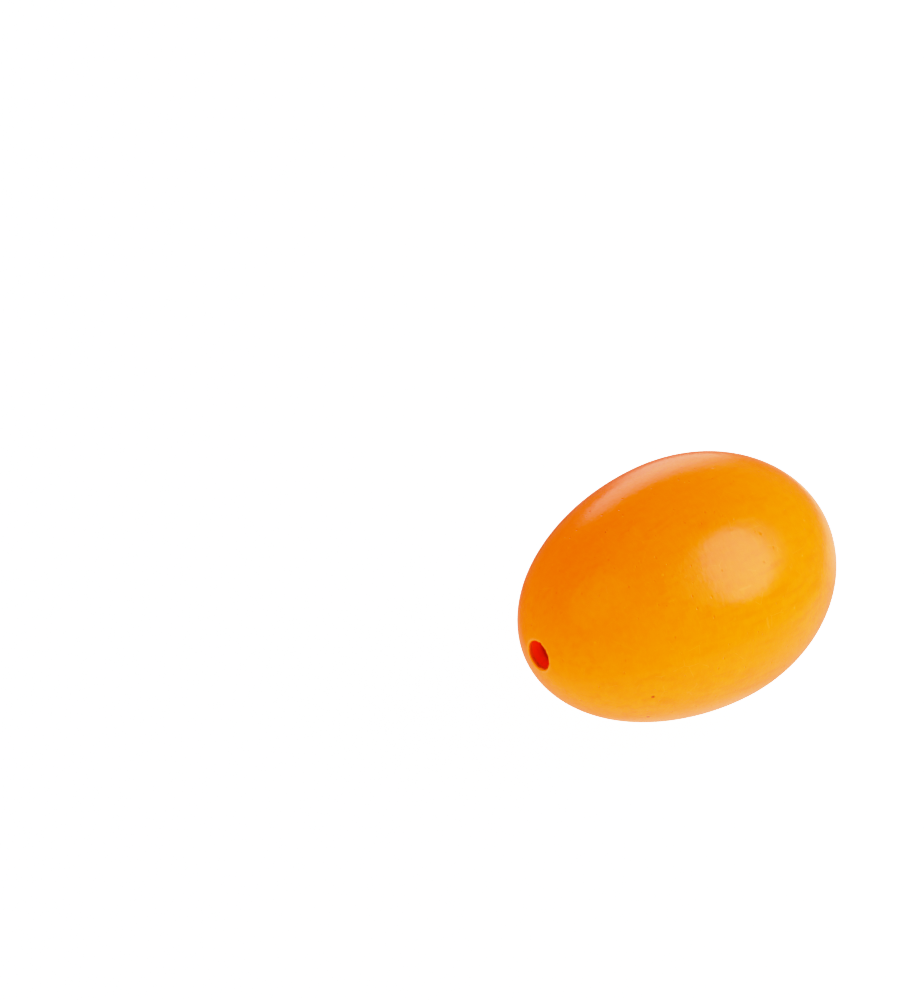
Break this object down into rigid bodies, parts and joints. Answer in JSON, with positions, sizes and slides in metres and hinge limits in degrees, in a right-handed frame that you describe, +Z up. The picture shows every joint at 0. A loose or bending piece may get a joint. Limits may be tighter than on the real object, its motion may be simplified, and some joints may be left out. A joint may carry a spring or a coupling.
{
  "type": "egg shaker",
  "caption": "Hollow lacquered wooden egg in glued halves with loose steel shot that rattles inside, and a small plugged filling hole in its narrow end.",
  "frame": {"origin": "under the middle of the egg's outline, on the surface that it rests on", "axes": "+X along the egg's long axis towards its broad end, +Z up with the egg lying on its side"},
  "size_m": [0.0597, 0.043, 0.043],
  "materials": {
    "lacquered_wood": "opaque orange gloss lacquer over turned beech, bare beech inside",
    "peg_wood": "beech peg, its outer face under the same lacquer",
    "steel_shot": "polished"
  },
  "bodies": {
    "shell": {"broad_half_shell": "lacquered_wood", "narrow_half_shell": "lacquered_wood", "filling_plug": "peg_wood"},
    "shot_01": {"shot_01": "steel_shot"},
    "shot_02": {"shot_02": "steel_shot"},
    "shot_03": {"shot_03": "steel_shot"},
    "shot_04": {"shot_04": "steel_shot"},
    "shot_05": {"shot_05": "steel_shot"},
    "shot_06": {"shot_06": "steel_shot"},
    "shot_07": {"shot_07": "steel_shot"},
    "shot_08": {"shot_08": "steel_shot"},
    "shot_09": {"shot_09": "steel_shot"},
    "shot_10": {"shot_10": "steel_shot"},
    "shot_11": {"shot_11": "steel_shot"},
    "shot_12": {"shot_12": "steel_shot"},
    "shot_13": {"shot_13": "steel_shot"},
    "shot_14": {"shot_14": "steel_shot"},
    "shot_15": {"shot_15": "steel_shot"},
    "shot_16": {"shot_16": "steel_shot"},
    "shot_17": {"shot_17": "steel_shot"},
    "shot_18": {"shot_18": "steel_shot"},
    "shot_19": {"shot_19": "steel_shot"},
    "shot_20": {"shot_20": "steel_shot"},
    "shot_21": {"shot_21": "steel_shot"},
    "shot_22": {"shot_22": "steel_shot"},
    "shot_23": {"shot_23": "steel_shot"},
    "shot_24": {"shot_24": "steel_shot"}
  },
  "joints": [
    {"name": "shot_01_rattle", "type": "slide", "parent": "shell", "child": "shot_01", "axis": [0, 0, 1], "range_m": [0, 0.02096]},
    {"name": "shot_02_rattle", "type": "slide", "parent": "shell", "child": "shot_02", "axis": [0, 0, 1], "range_m": [0, 0.02213]},
    {"name": "shot_03_rattle", "type": "slide", "parent": "shell", "child": "shot_03", "axis": [0, 0, 1], "range_m": [0, 0.02201]},
    {"name": "shot_04_rattle", "type": "slide", "parent": "shell", "child": "shot_04", "axis": [0, 0, 1], "range_m": [0, 0.01983]},
    {"name": "shot_05_rattle", "type": "slide", "parent": "shell", "child": "shot_05", "axis": [0, 0, 1], "range_m": [0, 0.02361]},
    {"name": "shot_06_rattle", "type": "slide", "parent": "shell", "child": "shot_06", "axis": [0, 0, 1], "range_m": [0, 0.02516]},
    {"name": "shot_07_rattle", "type": "slide", "parent": "shell", "child": "shot_07", "axis": [0, 0, 1], "range_m": [0, 0.02566]},
    {"name": "shot_08_rattle", "type": "slide", "parent": "shell", "child": "shot_08", "axis": [0, 0, 1], "range_m": [0, 0.02476]},
    {"name": "shot_09_rattle", "type": "slide", "parent": "shell", "child": "shot_09", "axis": [0, 0, 1], "range_m": [0, 0.02182]},
    {"name": "shot_10_rattle", "type": "slide", "parent": "shell", "child": "shot_10", "axis": [0, 0, 1], "range_m": [0, 0.02356]},
    {"name": "shot_11_rattle", "type": "slide", "parent": "shell", "child": "shot_11", "axis": [0, 0, 1], "range_m": [0, 0.02561]},
    {"name": "shot_12_rattle", "type": "slide", "parent": "shell", "child": "shot_12", "axis": [0, 0, 1], "range_m": [0, 0.02658]},
    {"name": "shot_13_rattle", "type": "slide", "parent": "shell", "child": "shot_13", "axis": [0, 0, 1], "range_m": [0, 0.02648]},
    {"name": "shot_14_rattle", "type": "slide", "parent": "shell", "child": "shot_14", "axis": [0, 0, 1], "range_m": [0, 0.0247]},
    {"name": "shot_15_rattle", "type": "slide", "parent": "shell", "child": "shot_15", "axis": [0, 0, 1], "range_m": [0, 0.02069]},
    {"name": "shot_16_rattle", "type": "slide", "parent": "shell", "child": "shot_16", "axis": [0, 0, 1], "range_m": [0, 0.02361]},
    {"name": "shot_17_rattle", "type": "slide", "parent": "shell", "child": "shot_17", "axis": [0, 0, 1], "range_m": [0, 0.02516]},
    {"name": "shot_18_rattle", "type": "slide", "parent": "shell", "child": "shot_18", "axis": [0, 0, 1], "range_m": [0, 0.02566]},
    {"name": "shot_19_rattle", "type": "slide", "parent": "shell", "child": "shot_19", "axis": [0, 0, 1], "range_m": [0, 0.02476]},
    {"name": "shot_20_rattle", "type": "slide", "parent": "shell", "child": "shot_20", "axis": [0, 0, 1], "range_m": [0, 0.02182]},
    {"name": "shot_21_rattle", "type": "slide", "parent": "shell", "child": "shot_21", "axis": [0, 0, 1], "range_m": [0, 0.02096]},
    {"name": "shot_22_rattle", "type": "slide", "parent": "shell", "child": "shot_22", "axis": [0, 0, 1], "range_m": [0, 0.02213]},
    {"name": "shot_23_rattle", "type": "slide", "parent": "shell", "child": "shot_23", "axis": [0, 0, 1], "range_m": [0, 0.02201]},
    {"name": "shot_24_rattle", "type": "slide", "parent": "shell", "child": "shot_24", "axis": [0, 0, 1], "range_m": [0, 0.01983]}
  ]
}
